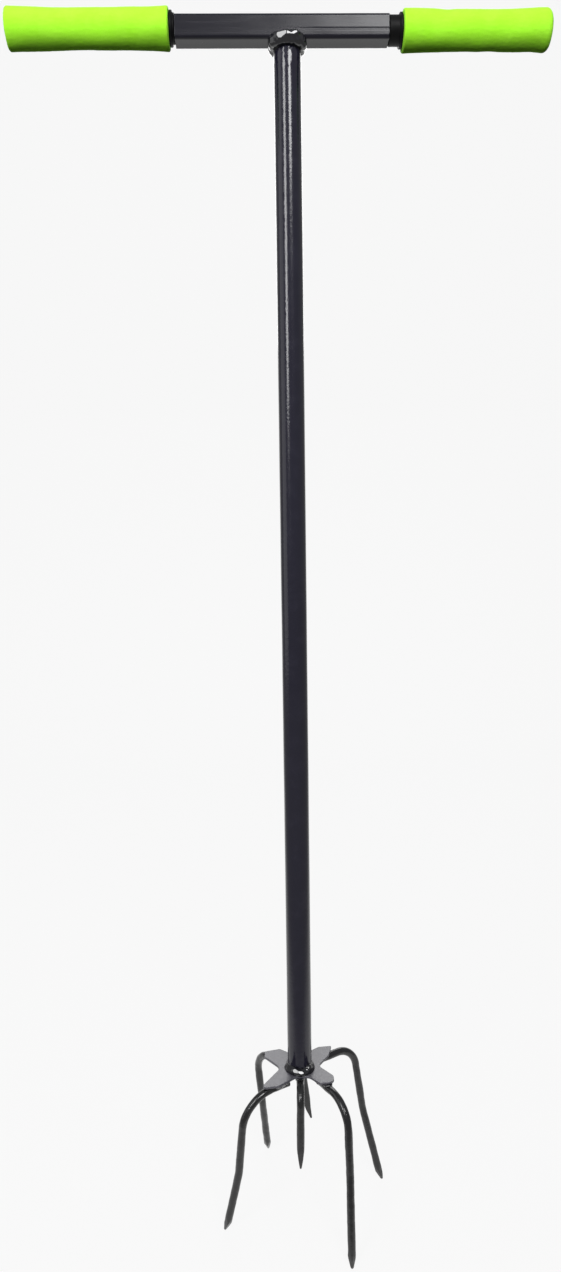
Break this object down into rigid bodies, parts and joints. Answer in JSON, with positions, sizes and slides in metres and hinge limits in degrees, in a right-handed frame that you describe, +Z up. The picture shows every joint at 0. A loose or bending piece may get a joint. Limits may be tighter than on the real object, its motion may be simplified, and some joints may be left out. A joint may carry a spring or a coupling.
{
  "type": "twist tiller",
  "caption": "T-handled twist tiller: long steel shaft, square crossbar with green foam grips, and a lobed plate carrying curved outer tines and short inner tines.",
  "frame": {"origin": "on the shaft's axis, in the plane of the outer tines' points", "axes": "+Z up the shaft to the crossbar, +X along the crossbar to the user's right, +Y away from the user"},
  "size_m": [0.4353, 0.1576, 1.0493],
  "materials": {
    "black_paint": "gloss black paint with orange peel",
    "plate_paint": "gloss black paint, worn dull on the flat",
    "black_plastic": "moulded black plastic",
    "green_foam": "soft lime green foam with a fine skin"
  },
  "bodies": {
    "root": {"shaft_tube": "black_paint", "crossbar_tube": "black_paint", "handle_weld": "black_paint", "hub_weld": "black_paint", "tine_plate": "plate_paint", "left_grip_core": "black_plastic", "right_grip_core": "black_plastic", "left_foam_grip": "green_foam", "right_foam_grip": "green_foam", "front_left_tine": "black_paint", "front_right_tine": "black_paint", "rear_right_tine": "black_paint", "rear_left_tine": "black_paint", "front_inner_tine": "black_paint", "rear_inner_tine": "black_paint", "front_left_tine_weld": "black_paint", "front_right_tine_weld": "black_paint", "rear_right_tine_weld": "black_paint", "rear_left_tine_weld": "black_paint", "front_inner_tine_weld": "black_paint", "rear_inner_tine_weld": "black_paint"}
  },
  "joints": []
}
